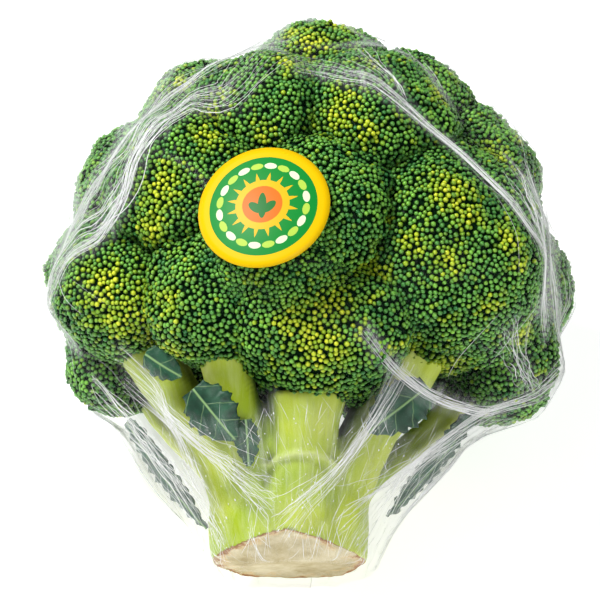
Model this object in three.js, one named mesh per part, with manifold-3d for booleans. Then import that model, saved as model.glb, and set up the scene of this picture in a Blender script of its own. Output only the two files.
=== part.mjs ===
// A head of broccoli in clear stretch film, with a round label on the film, lying on its back.
// Millimetres. The plant is built upright: the stalk's cut face lies on z = 0, the crown is up and the
// front faces -Y. It is then laid back on the surface z = 0, with the stem towards -Y.
import * as THREE from "three";
import { ConvexHull } from "three/addons/math/ConvexHull.js";
import { mergeVertices } from "three/addons/utils/BufferGeometryUtils.js";
import Module from "manifold-3d";

const wasm = await Module();
wasm.setup();

// Driving dimensions
const HEAD_HALF = new THREE.Vector3(96.5, 76, 83.5); // half the head's width, depth and height
const HEAD_TAPER = 0.25; // how far its sides draw in towards the crown
const HEAD_MIDDLE = new THREE.Vector3(7.5, 0, 106.5); // the head leans a little to the right of its stalk
const TRUNK_RADIUS = 26; // at the cut face
const TRUNK_TOP = 100; // where the trunk ends inside the head
const FORK_LOW = 8; // the low branches leave the trunk at this height
const FORK_OUT = 17; // and this far from its axis
const LIE_TILT = THREE.MathUtils.degToRad(26); // how far the axis rises from stem to crown as the head lies
const BUD_PITCH = 10.5; // raised buds stand this far apart, larger than life
const BUD_RISE = 0.9; // a bud's top above the dome, and the valleys below it
const CREASE = 1.6; // rounding where a floret presses on its neighbour
const GAP = 0.3; // clearance between pieces that touch
const FILM_THICKNESS = 0.6; // thicker than real film, so that the sheet is a solid
const FILM_CLEARANCE = 1.5; // from what is wrapped to the film's outer face
const FILM_SETTLE = 1.4; // film this close to the surface below lies on it
const LABEL_RADIUS = 21;
const LABEL_THICKNESS = 0.6;

const GOLDEN_ANGLE = Math.PI * (3 - Math.sqrt(5));
const UP = new THREE.Vector3(0, 0, 1);
const rad = THREE.MathUtils.degToRad;

// Florets by direction from the head's middle: azimuth runs from the front to the right, elevation
// runs up, both in degrees. Radius is the dome's, in millimetres. A floret with a stem, which thins or
// thickens its branch, grows from the side of the trunk, low down. The others fork off inside the head.
const FLORETS = [
  { name: "floret_front", azimuth: -2, elevation: -45, radius: 36, stem: 1 },
  { name: "floret_front_left", azimuth: -37, elevation: -28, radius: 25, stem: 0.95 },
  { name: "floret_left", azimuth: -70, elevation: -17, radius: 27, stem: 1.05 },
  { name: "floret_left_low", azimuth: -98, elevation: -28, radius: 25, stem: 0.6 },
  { name: "floret_left_edge", azimuth: -105, elevation: -2, radius: 26 },
  { name: "floret_left_shoulder", azimuth: -47, elevation: 11, radius: 32 },
  { name: "floret_left_upper", azimuth: -90, elevation: 22, radius: 26 },
  { name: "floret_crown_left", azimuth: -24, elevation: 36, radius: 28 },
  { name: "floret_top_left", azimuth: -70, elevation: 50, radius: 26 },
  { name: "floret_centre", azimuth: 4, elevation: -7, radius: 30 },
  { name: "floret_right", azimuth: 55, elevation: -14, radius: 41, stem: 0.8 },
  { name: "floret_right_low", azimuth: 95, elevation: -31, radius: 26, stem: 0.6 },
  { name: "floret_right_edge", azimuth: 108, elevation: -4, radius: 28 },
  { name: "floret_right_shoulder", azimuth: 86, elevation: 27, radius: 29 },
  { name: "floret_crown_front", azimuth: 26, elevation: 36, radius: 31 },
  { name: "floret_crown_right", azimuth: 70, elevation: 53, radius: 25 },
  { name: "floret_top", azimuth: 8, elevation: 76, radius: 28 },
  { name: "floret_crown_back", azimuth: 178, elevation: 58, radius: 30 },
  { name: "floret_back_left", azimuth: -137, elevation: 30, radius: 33 },
  { name: "floret_back_right", azimuth: 141, elevation: 28, radius: 33 },
  { name: "floret_back", azimuth: 180, elevation: 10, radius: 34 },
  { name: "floret_back_low_left", azimuth: -143, elevation: -22, radius: 32, stem: 0.8 },
  { name: "floret_back_low_right", azimuth: 146, elevation: -24, radius: 32, stem: 0.8 },
];
const SUBLOBES = 11; // smaller domes that swell each floret's surface
const SUBLOBE_SWELL = 0.13; // their height, as a share of the floret's radius
const DOME_EDGE = rad(118); // buds cover a dome to this far from its top
const DOME_SEAT = 0.66; // a floret's underside lies this share of its radius below its middle
const DOME_BACK = 0.32; // and its inner side this share behind its middle
const SEAT_OUT = 0.14; // its branch ends this share of its radius towards its outer side

// The surface that the head lies on, as a wall in the upright plant's frame.
const downward = new THREE.Vector3(0, Math.cos(LIE_TILT), -Math.sin(LIE_TILT));
const FLOOR = TRUNK_RADIUS * Math.cos(LIE_TILT) + FILM_CLEARANCE - 0.4;

const materials = {
  stalk: new THREE.MeshStandardMaterial({ color: 0xb4cf68, roughness: 0.5 }),
  floret: new THREE.MeshStandardMaterial({ color: 0x3f7030, roughness: 0.7 }),
  leaf: new THREE.MeshStandardMaterial({ color: 0x2f5f45, roughness: 0.55 }),
  film: new THREE.MeshStandardMaterial({ color: 0xf4f6f6, roughness: 0.1, opacity: 0.15, transparent: true }),
  label: new THREE.MeshStandardMaterial({ color: 0xf5d800, roughness: 0.35 }),
};

// Basic tools

function directionOf(azimuth, elevation) {
  const [turn, rise] = [rad(azimuth), rad(elevation)];
  return new THREE.Vector3(
    Math.sin(turn) * Math.cos(rise),
    -Math.cos(turn) * Math.cos(rise),
    Math.sin(rise),
  );
}

// Directions evenly spread round +Z by the golden angle, from the pole down to the angle given.
function spiralDirections(count, lowestAngle, phase) {
  return Array.from({ length: count }, (_, i) => {
    const height = 1 - ((1 - Math.cos(lowestAngle)) * (i + 0.5)) / count;
    const turn = i * GOLDEN_ANGLE + phase;
    const out = Math.sqrt(1 - height * height);
    return new THREE.Vector3(out * Math.cos(turn), out * Math.sin(turn), height);
  });
}

function geometryOf(points, triangles) {
  const geometry = new THREE.BufferGeometry().setFromPoints(points);
  return geometry.setIndex(triangles.flat());
}

function solidOf(geometry) {
  const bare = geometry.clone();
  bare.deleteAttribute("normal");
  bare.deleteAttribute("uv");
  const merged = mergeVertices(bare, 1e-4);
  return new wasm.Manifold(
    new wasm.Mesh({
      numProp: 3,
      vertProperties: merged.attributes.position.array,
      triVerts: new Uint32Array(merged.index.array),
    }),
  );
}

function geometryOfSolid(solid) {
  const { vertProperties, triVerts } = solid.getMesh();
  return new THREE.BufferGeometry()
    .setAttribute("position", new THREE.BufferAttribute(vertProperties, 3))
    .setIndex(new THREE.BufferAttribute(triVerts, 1));
}

function pointsOf(geometry) {
  const position = geometry.getAttribute("position");
  const pointAt = (_, i) => new THREE.Vector3().fromBufferAttribute(position, i);
  return Array.from({ length: position.count }, pointAt);
}

function facesOf(geometry) {
  const corners = geometry.getIndex().array;
  return Array.from({ length: corners.length / 3 }, (_, i) => corners.slice(3 * i, 3 * i + 3));
}

// The middles of a surface's triangles.
function middlesOf(geometry) {
  const points = pointsOf(geometry);
  const middle = (a, b, c) => points[a].clone().add(points[b]).add(points[c]).divideScalar(3);
  return facesOf(geometry).map((corners) => middle(...corners));
}

// Florets

// Puts each floret's dome just inside the head's outline, on a branch that leaves the trunk below it.
function placeFloret(floret) {
  const { radius, stem = 0.9 } = floret;
  const outward = directionOf(floret.azimuth, floret.elevation);
  const drawnIn = 1 - HEAD_TAPER * Math.max(0, outward.z) * outward.x ** 2;
  const outline = drawnIn / outward.clone().divide(HEAD_HALF).length();
  const middle = HEAD_MIDDLE.clone().addScaledVector(outward, outline - radius);
  const fork = new THREE.Vector3(0, 0, Math.min(TRUNK_TOP - 6, 1.35 * middle.z - 70));
  if (floret.stem) fork.set(middle.x, middle.y, 0).setLength(FORK_OUT).setZ(FORK_LOW);
  floret.middle = middle;
  floret.axis = middle.clone().sub(fork).normalize();
  floret.sides = [
    { normal: floret.axis, depth: DOME_SEAT * radius },
    { normal: outward, depth: DOME_BACK * radius },
  ];
  const along = ({ normal, depth }) => depth / Math.max(0.01, normal.dot(floret.axis));
  const seat = along(floret.sides[0]) < along(floret.sides[1]) ? floret.sides[0] : floret.sides[1];
  const sideways = outward.clone().projectOnPlane(seat.normal).multiplyScalar(SEAT_OUT * radius);
  const end = middle.clone().add(sideways).addScaledVector(seat.normal, -seat.depth - GAP);
  const span = end.distanceTo(fork);
  floret.branch = new THREE.CubicBezierCurve3(
    fork,
    fork.clone().addScaledVector(UP, 0.4 * span),
    end.clone().addScaledVector(seat.normal, -0.35 * span),
    end,
  );
  floret.girth = (t) => stem * radius * (0.34 - 0.08 * t + 0.12 * t ** 4);
}

// The walls that bound a floret: the planes that part it from its neighbours and from the branches that
// pass it, its underside and inner side, and the surface that the head lies on.
function wallsOf(floret) {
  const power = (f) => f.middle.lengthSq() - f.radius * f.radius;
  const walls = FLORETS.filter((other) => other !== floret).map((other) => {
    const apart = other.middle.clone().sub(floret.middle);
    const offset = (power(other) - power(floret)) / 2 / apart.length() - GAP / 2;
    return { normal: apart.normalize(), offset };
  });
  for (const other of FLORETS.filter((f) => f !== floret)) {
    const spots = other.branch.getSpacedPoints(10).map((at, i) => ({ at, girth: other.girth(i / 10) }));
    const room = ({ at, girth }) => at.distanceTo(floret.middle) - girth;
    const nearest = spots.reduce((best, spot) => (room(spot) < room(best) ? spot : best));
    const normal = nearest.at.clone().sub(floret.middle).normalize();
    walls.push({ normal, offset: normal.dot(floret.middle) + room(nearest) - 3 * GAP });
  }
  for (const { normal, depth } of floret.sides) {
    walls.push({ normal: normal.clone().negate(), offset: depth - normal.dot(floret.middle) });
  }
  walls.push({ normal: downward, offset: FLOOR - FILM_CLEARANCE });
  return walls;
}

// The way out from a floret's middle to its surface, eased so that it never crosses a wall.
function heldReach(reach, middle, direction, walls) {
  let sum = Math.exp(-reach / CREASE);
  for (const { normal, offset } of walls) {
    const towards = normal.dot(direction);
    if (towards > 0.01) sum += Math.exp(-(offset - normal.dot(middle)) / towards / CREASE);
  }
  return -CREASE * Math.log(sum);
}

// A dome of raised buds. Each bud is a point ringed by the valleys that part it from its neighbours.
function floretGeometry(floret, phase) {
  const walls = wallsOf(floret);
  const toAxis = new THREE.Quaternion().setFromUnitVectors(UP, floret.axis);
  const sublobes = spiralDirections(SUBLOBES, DOME_EDGE, phase);
  const swell = (local) =>
    Math.max(...sublobes.map((lobe) => Math.exp(-((lobe.angleTo(local) / 0.42) ** 2))));
  const surface = (local, rise) => {
    const direction = local.clone().applyQuaternion(toAxis);
    const dome = floret.radius * (1 - SUBLOBE_SWELL + SUBLOBE_SWELL * swell(local));
    const reach = heldReach(dome + rise, floret.middle, direction, walls);
    const point = floret.middle.clone().addScaledVector(direction, reach);
    return { open: reach > dome - 3 * CREASE, point };
  };
  const capArea = 2 * Math.PI * floret.radius ** 2 * (1 - Math.cos(DOME_EDGE));
  const budCount = Math.round(capArea / (0.866 * BUD_PITCH ** 2));
  const buds = spiralDirections(budCount, DOME_EDGE, phase).filter((local) => surface(local, 0).open);
  const hiddenSide = spiralDirections(18, Math.PI, phase + 1).filter((local) => !surface(local, 0).open);
  const directions = [...buds, ...hiddenSide];

  const hull = new ConvexHull().setFromPoints(directions);
  const budIndex = new Map(directions.map((direction, i) => [direction, i]));
  const valleyIndex = new Map(hull.faces.map((face, i) => [face, directions.length + i]));
  const points = [
    ...buds.map((local) => surface(local, BUD_RISE).point),
    ...hiddenSide.map((local) => surface(local, 0).point),
    ...hull.faces.map((face) => surface(face.normal, -BUD_RISE).point),
  ];
  const triangles = hull.faces.flatMap((face) =>
    [0, 1, 2].map((i) => {
      const edge = face.getEdge(i);
      return [budIndex.get(edge.tail().point), valleyIndex.get(edge.twin.face), valleyIndex.get(face)];
    }),
  );
  return geometryOf(points, triangles);
}

// Stalk

// A closed, tapered tube along a curve. The girth gives its radius along the way, from 0 to 1.
function taperedTube(curve, girth, sides, steps) {
  const tube = new THREE.CylinderGeometry(1, 1, 1, sides, steps);
  const position = tube.getAttribute("position");
  const { normals, binormals } = curve.computeFrenetFrames(steps);
  for (let i = 0; i < position.count; i++) {
    const along = Math.round((position.getY(i) + 0.5) * steps);
    const point = curve.getPointAt(along / steps);
    const radius = girth(along / steps);
    point.addScaledVector(normals[along], position.getX(i) * radius);
    point.addScaledVector(binormals[along], -position.getZ(i) * radius);
    position.setXYZ(i, point.x, point.y, point.z);
  }
  return tube;
}

// The trunk is ribbed where its branches run down into it.
function trunkSolid() {
  const profile = [
    [0, 0], [0.97, 0], [1, 1.2], [1.03, 12], [1, 23], [0.82, 33], [0.52, 46], [0.36, 70],
    [0.3, TRUNK_TOP], [0, TRUNK_TOP],
  ].map(([share, z]) => new THREE.Vector2(share * TRUNK_RADIUS, z));
  const trunk = new THREE.LatheGeometry(profile, 20).rotateX(Math.PI / 2);
  const position = trunk.getAttribute("position");
  for (let i = 0; i < position.count; i++) {
    const turn = Math.atan2(position.getX(i), -position.getY(i));
    const rib = 1 + 0.05 * Math.cos(5 * turn) + 0.02 * Math.cos(2 * turn + 1);
    position.setXYZ(i, position.getX(i) * rib, position.getY(i) * rib, position.getZ(i));
  }
  return solidOf(trunk);
}

// Leaves: thin arched blades with toothed edges. At is where the leaf starts, along its midrib's
// direction and facing its upper side's.
const LEAVES = [
  {
    name: "leaf_front_left", length: 21, width: 8,
    at: [-31, -42, 49], along: [0.62, 0.1, -0.78], facing: [-0.2, -1, -0.3],
  },
  {
    name: "leaf_front_left_small", length: 15, width: 4,
    at: [-14, -38, 40], along: [0.1, 0.25, -1], facing: [0.3, -1, -0.2],
  },
  {
    name: "leaf_front_right", length: 24, width: 8,
    at: [44, -41, 50], along: [-0.8, 0.2, -0.6], facing: [0.3, -1, -0.2],
  },
  {
    name: "leaf_under_left", length: 14, width: 5,
    at: [-47, -37, 62], along: [0.8, -0.1, -0.6], facing: [-0.1, -0.8, -0.6],
  },
  {
    name: "leaf_left_side", length: 44, width: 7,
    at: [-54.5, -12, 46], along: [0.5, 0.05, -0.85], facing: [-0.9, -0.4, -0.5],
  },
  {
    name: "leaf_right_side", length: 46, width: 7,
    at: [62, -8, 51], along: [-0.56, 0.05, -0.82], facing: [0.9, -0.4, -0.5],
  },
];
const LEAF_THICKNESS = 0.8;

function leafGeometry({ at, along, facing, length, width }) {
  const midrib = new THREE.Vector3(...along).normalize();
  const side = new THREE.Vector3().crossVectors(new THREE.Vector3(...facing), midrib).normalize();
  const face = new THREE.Vector3().crossVectors(midrib, side);
  const rows = 10;
  const points = [];
  for (const lift of [LEAF_THICKNESS / 2, -LEAF_THICKNESS / 2]) {
    for (let row = 0; row <= rows; row++) {
      const t = row / rows;
      const tooth = row % 2 ? 1.08 : 0.92;
      const half = Math.max(1, width * Math.sin(Math.PI * Math.min(1, 0.12 + 0.88 * t)) ** 0.7 * tooth);
      for (const across of [-1, 0, 1]) {
        const arch = -0.2 * half * across * across - 0.12 * length * t * t;
        points.push(
          new THREE.Vector3(...at)
            .addScaledVector(midrib, t * length)
            .addScaledVector(side, across * half)
            .addScaledVector(face, arch + lift),
        );
      }
    }
  }
  const under = 3 * (rows + 1);
  const triangles = [];
  const quad = (a, b, c, d) => triangles.push([a, c, b], [a, d, c]);
  for (let row = 0; row < rows; row++) {
    const [near, far] = [3 * row, 3 * row + 3];
    for (const column of [0, 1]) {
      quad(near + column, near + column + 1, far + column + 1, far + column);
      quad(under + far + column, under + far + column + 1, under + near + column + 1, under + near + column);
    }
    quad(near, far, under + far, under + near);
    quad(far + 2, near + 2, under + near + 2, under + far + 2);
  }
  for (const column of [0, 1]) {
    const tip = 3 * rows + column;
    quad(column + 1, column, under + column, under + column + 1);
    quad(tip, tip + 1, under + tip + 1, under + tip);
  }
  return geometryOf(points, triangles);
}

// Film

// The film is a sheet stretched over everything that it wraps, worked out along rays from a point
// on the stalk's axis. It is open where it is gathered under the cut face.
const FILM_CENTRE = new THREE.Vector3(2, 0, 72);
const FILM_COLUMNS = 36;
const FILM_MOUTH = 169; // degrees from the crown to the film's edge under the cut face
const FILM_ANGLES = [
  ...Array.from({ length: 18 }, (_, i) => 8.5 * i),
  149, 153, 157, 160.5, 164.5, FILM_MOUTH,
].map(rad);
const FILM_ROWS = FILM_ANGLES.length;

const filmDirections = FILM_ANGLES.map((angle) =>
  Array.from({ length: FILM_COLUMNS }, (_, column) => {
    const turn = (2 * Math.PI * column) / FILM_COLUMNS;
    const out = Math.sin(angle);
    return new THREE.Vector3(out * Math.cos(turn), out * Math.sin(turn), Math.cos(angle));
  }),
);

// Where a wrapped point lies on the film's net: the net triangle over it and each corner's share.
function filmPlace(point) {
  const direction = point.clone().sub(FILM_CENTRE);
  const reach = direction.length();
  const angle = direction.angleTo(UP);
  if (angle >= FILM_ANGLES[FILM_ROWS - 1]) return null;
  const turn = ((Math.atan2(direction.y, direction.x) / (2 * Math.PI) + 1) % 1) * FILM_COLUMNS;
  const row = FILM_ANGLES.findIndex((next) => next > angle) - 1;
  const down = (angle - FILM_ANGLES[row]) / (FILM_ANGLES[row + 1] - FILM_ANGLES[row]);
  const column = Math.floor(turn);
  const next = (column + 1) % FILM_COLUMNS;
  const round = turn - column;
  let corners = [[row, column, 1 - round], [row + 1, next, down], [row, next, round - down]];
  if (down > round) {
    corners = [[row, column, 1 - down], [row + 1, column, down - round], [row + 1, next, round]];
  }
  if (!row) corners = [[0, column, 1 - down], [1, column, down * (1 - round)], [1, next, down * round]];
  return { direction: direction.normalize(), reach, corners };
}

// How far the film lies from its centre on each ray. Each round draws every net point to the plane
// of its neighbours, as tension does, and then pushes the film off what it wraps.
function stretchedFilm(wrapped) {
  const places = wrapped.map(filmPlace).filter(Boolean);
  const reach = filmDirections.map((row) => row.map(() => 110));
  const rim = Math.PI - Math.atan(TRUNK_RADIUS / FILM_CENTRE.z);
  const toCut = FILM_CENTRE.z + FILM_CLEARANCE;
  const underCut = FILM_ANGLES.map((angle) => (angle > rim ? -toCut / Math.cos(angle) : 0));
  reach[FILM_ROWS - 1].fill(underCut[FILM_ROWS - 1]);
  const at = (row, column) => {
    const c = (column + FILM_COLUMNS) % FILM_COLUMNS;
    return filmDirections[row][c].clone().multiplyScalar(reach[row][c]);
  };
  const relax = () => {
    reach[0].fill(reach[1].reduce((sum, r) => sum + r, 0) * Math.cos(FILM_ANGLES[1]) / FILM_COLUMNS);
    for (let row = 1; row < FILM_ROWS - 1; row++) {
      for (let column = 0; column < FILM_COLUMNS; column++) {
        const [above, below] = [at(row - 1, column), at(row + 1, column)];
        const [left, right] = [at(row, column - 1), at(row, column + 1)];
        const normal = below.clone().sub(above).cross(right.clone().sub(left));
        const mean = above.add(below).add(left).add(right).multiplyScalar(0.25);
        const taut = mean.dot(normal) / filmDirections[row][column].dot(normal);
        reach[row][column] += 0.6 * (taut - reach[row][column]);
      }
    }
  };
  const pushOff = () => {
    for (const place of places) {
      const [a, b, c] = place.corners.map(([row, column]) => at(row, column));
      const normal = b.clone().sub(a).cross(c.clone().sub(a));
      const short = place.reach + FILM_CLEARANCE - a.dot(normal) / place.direction.dot(normal);
      if (!(short > 0)) continue;
      for (const [row, column, share] of place.corners) {
        if (row < FILM_ROWS - 1) reach[row][column] += short * share;
      }
    }
    reach[0].fill(Math.max(...reach[0]));
    reach.forEach((row, r) => row.forEach((length, c) => (row[c] = Math.max(length, underCut[r]))));
  };
  for (let round = 0; round < 100; round++) {
    relax();
    pushOff();
  }
  for (let round = 0; round < 60; round++) pushOff();
  return reach;
}

// The film's outer face, flat where it lies on the surface below.
function filmOuterFace(reach) {
  const points = [];
  filmDirections.forEach((row, r) =>
    (r ? row : row.slice(0, 1)).forEach((direction, c) => {
      const towards = downward.dot(direction);
      const toFloor = (FLOOR - downward.dot(FILM_CENTRE)) / towards;
      const length = towards > 0 && reach[r][c] + FILM_SETTLE > toFloor ? toFloor : reach[r][c];
      points.push(FILM_CENTRE.clone().addScaledVector(direction, length));
    }),
  );
  const index = (row, column) => (row ? 1 + (row - 1) * FILM_COLUMNS + (column % FILM_COLUMNS) : 0);
  const triangles = [];
  for (let column = 0; column < FILM_COLUMNS; column++) {
    for (let row = 0; row < FILM_ROWS - 1; row++) {
      const [a, b] = [index(row, column), index(row + 1, column)];
      const [c, d] = [index(row + 1, column + 1), index(row, column + 1)];
      triangles.push([a, b, c]);
      if (row) triangles.push([a, c, d]);
    }
  }
  return geometryOf(points, triangles);
}

function filmGeometry(outer) {
  outer.computeVertexNormals();
  const points = pointsOf(outer);
  const count = points.length;
  const normals = outer.getAttribute("normal");
  const inner = points.map((point, i) =>
    point.clone().addScaledVector(new THREE.Vector3().fromBufferAttribute(normals, i), -FILM_THICKNESS),
  );
  const triangles = facesOf(outer).flatMap(([a, b, c]) => [[a, b, c], [count + a, count + c, count + b]]);
  const edge = count - FILM_COLUMNS;
  for (let column = 0; column < FILM_COLUMNS; column++) {
    const [a, b] = [edge + column, edge + ((column + 1) % FILM_COLUMNS)];
    triangles.push([a, count + a, count + b], [a, count + b, b]);
  }
  return geometryOf([...points, ...inner], triangles);
}

// Label

// A disc with a slight bend that stands just clear of the florets and holds the film smooth under it.
const LABEL_AXIS = directionOf(-9, 3); // the way it faces
const LABEL_FROM = new THREE.Vector3(6, 0, 91.5); // a point behind its middle, inside the head
const LABEL_BEND = 90; // the radius of its curve
const LABEL_RINGS = 4;
const LABEL_SIDES = 24;
const labelTurn = new THREE.Quaternion().setFromUnitVectors(UP, LABEL_AXIS);

// A point of the bent disc, with the disc's middle at the height given.
function labelPoint(ring, side, height) {
  const turn = (2 * Math.PI * side) / LABEL_SIDES;
  const out = (LABEL_RADIUS * ring) / LABEL_RINGS;
  return new THREE.Vector3(out * Math.cos(turn), out * Math.sin(turn), height - (out * out) / 2 / LABEL_BEND)
    .applyQuaternion(labelTurn)
    .add(LABEL_FROM);
}

// The height at which the bent disc clears all these points.
function labelHeight(points) {
  const back = labelTurn.clone().invert();
  return Math.max(
    ...points.map((point) => {
      const { x, y, z } = point.clone().sub(LABEL_FROM).applyQuaternion(back);
      const out = Math.hypot(x, y);
      return out < LABEL_RADIUS + 4 ? z + (out * out) / 2 / LABEL_BEND : 0;
    }),
  );
}

function labelNet(height) {
  const points = [labelPoint(0, 0, height)];
  for (let ring = 1; ring <= LABEL_RINGS; ring++) {
    for (let side = 0; side < LABEL_SIDES; side++) points.push(labelPoint(ring, side, height));
  }
  return points;
}

function labelGeometry(height) {
  const points = [...labelNet(height + LABEL_THICKNESS), ...labelNet(height)];
  const under = points.length / 2;
  const index = (ring, side) => (ring ? 1 + (ring - 1) * LABEL_SIDES + (side % LABEL_SIDES) : 0);
  const triangles = [];
  for (let side = 0; side < LABEL_SIDES; side++) {
    for (let ring = 0; ring < LABEL_RINGS; ring++) {
      const [a, b] = [index(ring, side), index(ring + 1, side)];
      const [c, d] = [index(ring + 1, side + 1), index(ring, side + 1)];
      triangles.push([a, b, c], [under + a, under + c, under + b]);
      if (ring) triangles.push([a, c, d], [under + a, under + d, under + c]);
    }
    const [a, b] = [index(LABEL_RINGS, side), index(LABEL_RINGS, side + 1)];
    triangles.push([a, under + a, under + b], [a, under + b, b]);
  }
  return geometryOf(points, triangles);
}

// Assembly

const plant = new THREE.Group();

function add(name, geometry, material) {
  const mesh = new THREE.Mesh(geometry, material);
  mesh.name = name;
  plant.add(mesh);
  return mesh;
}

FLORETS.forEach(placeFloret);
const stalk = FLORETS.reduce(
  (solid, { branch, girth }) => solid.add(solidOf(taperedTube(branch, girth, 8, 5))),
  trunkSolid(),
);
add("stalk", geometryOfSolid(stalk), materials.stalk);
FLORETS.forEach((floret, i) => add(floret.name, floretGeometry(floret, i), materials.floret));
LEAVES.forEach((leaf) => add(leaf.name, leafGeometry(leaf), materials.leaf));

const wrapped = plant.children.flatMap((mesh) => [...pointsOf(mesh.geometry), ...middlesOf(mesh.geometry)]);
wrapped.push(...labelNet(labelHeight(wrapped)));
const filmOuter = filmOuterFace(stretchedFilm(wrapped));
add("film_wrap", filmGeometry(filmOuter), materials.film);
const onFilm = [...pointsOf(filmOuter), ...middlesOf(filmOuter)];
add("label", labelGeometry(labelHeight(onFilm) + GAP), materials.label);

// Laid on its back, centred on the origin, with its lowest face on the surface.
plant.rotation.x = LIE_TILT - Math.PI / 2;
plant.position.z = FLOOR;
const box = new THREE.Box3().setFromObject(plant, true);
plant.position.x = -(box.min.x + box.max.x) / 2;
plant.position.y = -(box.min.y + box.max.y) / 2;

const broccoli = new THREE.Group();
broccoli.add(plant);
export default broccoli;
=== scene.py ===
import math

import bmesh
import bpy
import numpy as np
from mathutils import Matrix, Vector, noise
from mathutils.bvhtree import BVHTree
from mathutils.kdtree import KDTree


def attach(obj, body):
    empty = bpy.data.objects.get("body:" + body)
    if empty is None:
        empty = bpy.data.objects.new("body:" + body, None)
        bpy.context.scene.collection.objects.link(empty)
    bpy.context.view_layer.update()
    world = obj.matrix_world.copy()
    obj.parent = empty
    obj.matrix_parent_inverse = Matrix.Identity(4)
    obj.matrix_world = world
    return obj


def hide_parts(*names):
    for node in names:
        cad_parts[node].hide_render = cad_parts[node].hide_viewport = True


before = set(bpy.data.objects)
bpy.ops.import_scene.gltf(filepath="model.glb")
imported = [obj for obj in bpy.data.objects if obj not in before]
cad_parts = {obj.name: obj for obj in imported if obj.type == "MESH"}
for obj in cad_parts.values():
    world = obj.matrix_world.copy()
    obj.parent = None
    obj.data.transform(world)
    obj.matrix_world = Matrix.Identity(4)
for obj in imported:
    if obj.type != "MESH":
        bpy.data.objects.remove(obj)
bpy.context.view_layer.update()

# How the head lies
# The head lies on its back, its cut end towards the viewer and its crown raised. Grown pieces are
# placed in the plant's own frame, with the cut face at height 0, the crown up and the front at -Y.
MM = 0.001
LIE_ANGLE = 26
LIE_PLACE = Vector((-6.228, -81.81, 24.469)) * MM
LIE = Matrix.Translation(LIE_PLACE) @ Matrix.Rotation(math.radians(LIE_ANGLE - 90), 4, "X")
LIE_TURN = LIE.to_3x3()
TO_PLANT = LIE.inverted()

# Stalk
# One grown body of crisp pale flesh under a thin waxy skin: the trunk, cut across with a knife,
# and the side branches that carry the florets. Fibres run along it, and a leaf scar crosses it.
STALK_VOXEL, STALK_ROUNDS = 1.2 * MM, 14
STALK_RIDGE, STALK_SWELL = 0.35, 0.7
CUT_HEIGHT = 0.9
CUT_PEAK, CUT_START, CUT_RUN = 5.5, 4, 18
CUT_OFF, CUT_HALF = 1.5, 25
SCAR_HEIGHT = 30
SCAR_REACH, SCAR_FADE, SCAR_TRUNK = (-16, 33), 6, 34
CUT_RINGS = (0.45, 0.6, 0.8, 1.2, 1.8, 2.8, 4, 5)
FIBRE_APEX = 70
HOLLOW_START, HOLLOW_REACH, HOLLOW_RAYS = 1.5 * MM, 16 * MM, 14
STALK_CLEAR = 0.5 * MM


def linear(hex_colour):
    """An sRGB hex colour as linear red, green, blue and alpha."""
    parts = [int(hex_colour[i : i + 2], 16) / 255 for i in (1, 3, 5)]
    return (*[c / 12.92 if c <= 0.04045 else ((c + 0.055) / 1.055) ** 2.4 for c in parts], 1.0)


def add_node(tree, kind, links=None, **settings):
    """Adds a node, with its settings, its inputs' values and the links that come in to them."""
    added = tree.nodes.new(kind)
    for key, value in settings.items():
        setattr(added, key, value)
    for key, value in (links or {}).items():
        if isinstance(value, bpy.types.NodeSocket):
            tree.links.new(value, added.inputs[key])
        else:
            added.inputs[key].default_value = value
    return added


def start_material(name):
    """A new material's node tree and its shader."""
    material = bpy.data.materials.new(name)
    material.use_nodes = True
    return material, material.node_tree, material.node_tree.nodes["Principled BSDF"]


def grown_form(node, voxel, rounds):
    """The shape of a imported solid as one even, smooth mesh."""
    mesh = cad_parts[node].data.copy()
    bm = bmesh.new()
    bm.from_mesh(mesh)
    bmesh.ops.remove_doubles(bm, verts=bm.verts, dist=1e-6)
    bm.to_mesh(mesh)
    bm.free()
    holder = bpy.data.objects.new(node + "_form", mesh)
    bpy.context.scene.collection.objects.link(holder)
    even = holder.modifiers.new("even", "REMESH")
    even.mode = "VOXEL"
    even.voxel_size = voxel
    soft = holder.modifiers.new("soft", "SMOOTH")
    soft.factor = 0.5
    soft.iterations = rounds
    graph = bpy.context.evaluated_depsgraph_get()
    formed = bpy.data.meshes.new_from_object(holder.evaluated_get(graph))
    bpy.data.objects.remove(holder)
    return formed


def finish_piece(name, mesh, material, node=None):
    """A smooth piece at the origin that rides with the head and stands for its CAD node."""
    mesh.name = name
    mesh.materials.clear()
    mesh.materials.append(material)
    mesh.polygons.foreach_set("use_smooth", np.ones(len(mesh.polygons), bool))
    piece = bpy.data.objects.new(name, mesh)
    bpy.context.scene.collection.objects.link(piece)
    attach(piece, "root")
    if node:
        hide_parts(node)
    return piece


# The stalk and florets as one surface, which tells how deep a spot lies among them.
floret_names = [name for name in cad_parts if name.startswith("floret_")]
grown_points, grown_faces, grown_owner = [], [], []
for name in ["stalk", *floret_names]:
    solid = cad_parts[name].data
    first = len(grown_points)
    grown_points += [vert.co.copy() for vert in solid.vertices]
    grown_faces += [[first + i for i in face.vertices] for face in solid.polygons]
    grown_owner += [name] * len(solid.polygons)
grown_tree = BVHTree.FromPolygons(grown_points, grown_faces)
cut_middle = LIE @ Vector((0, 0, CUT_HEIGHT * MM))
cut_way = LIE_TURN @ Vector((0, 0, 1))


def cut_rise(spot):
    """How far the knife ran up the trunk at this place: it left a blunt peak at the front."""
    at = (TO_PLANT @ spot) / MM
    front = max(0, min(1, (-at.y - CUT_START) / CUT_RUN))
    front *= front * (3 - 2 * front)
    return CUT_PEAK * MM * front * max(0, 1.1 - math.hypot((at.x + CUT_OFF) / CUT_HALF, 0.1))


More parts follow.
